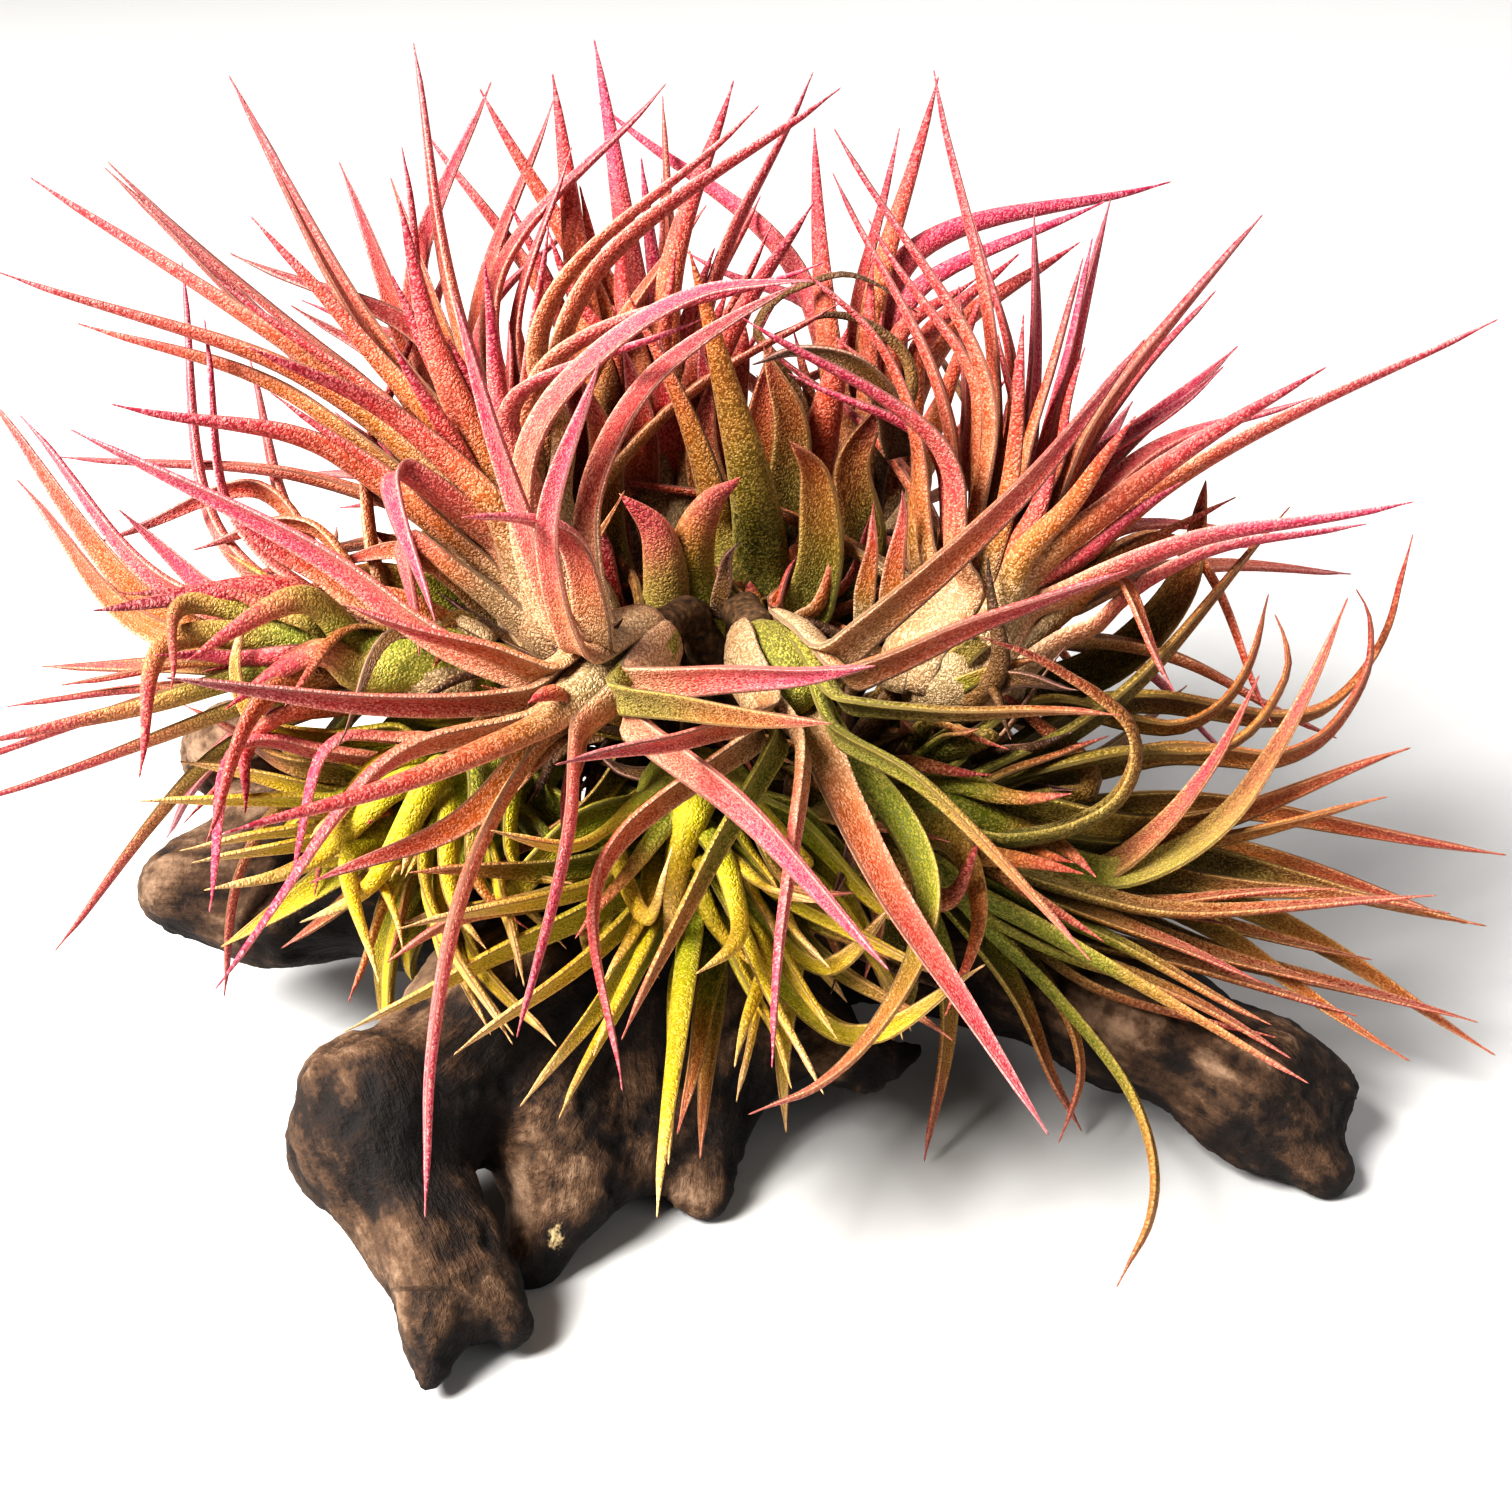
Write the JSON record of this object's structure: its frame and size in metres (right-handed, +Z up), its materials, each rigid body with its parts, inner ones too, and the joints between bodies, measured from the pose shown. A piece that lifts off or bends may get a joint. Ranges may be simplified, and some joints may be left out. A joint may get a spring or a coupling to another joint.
{
  "type": "air plant clump on driftwood",
  "caption": "Clump of silvery pink huamelula ionantha air plant rosettes with thin channelled leaves, grown together on a piece of dark driftwood.",
  "frame": {"origin": "on the floor under the middle of the whole, seen from above", "axes": "+X along the driftwood to the right, -Y to the viewer of the picture, +Z up"},
  "size_m": [0.276, 0.2514, 0.1748],
  "materials": {
    "driftwood": "matte",
    "stem": "matte",
    "leaf_pink": "matte",
    "leaf_olive": "matte",
    "leaf_yellow": "matte"
  },
  "bodies": {
    "root": {"driftwood": "driftwood", "stem": "stem", "rosette_left_back": "leaf_pink", "rosette_centre_back": "leaf_pink", "rosette_right_back": "leaf_pink", "rosette_right": "leaf_pink", "rosette_right_low": "leaf_olive", "rosette_front": "leaf_pink", "rosette_front_right": "leaf_pink", "rosette_left": "leaf_pink", "rosette_left_low": "leaf_yellow", "rosette_centre_low": "leaf_yellow", "rosette_centre": "leaf_olive", "rosette_rear_left_low": "leaf_olive", "rosette_rear_right_low": "leaf_olive"}
  },
  "joints": []
}
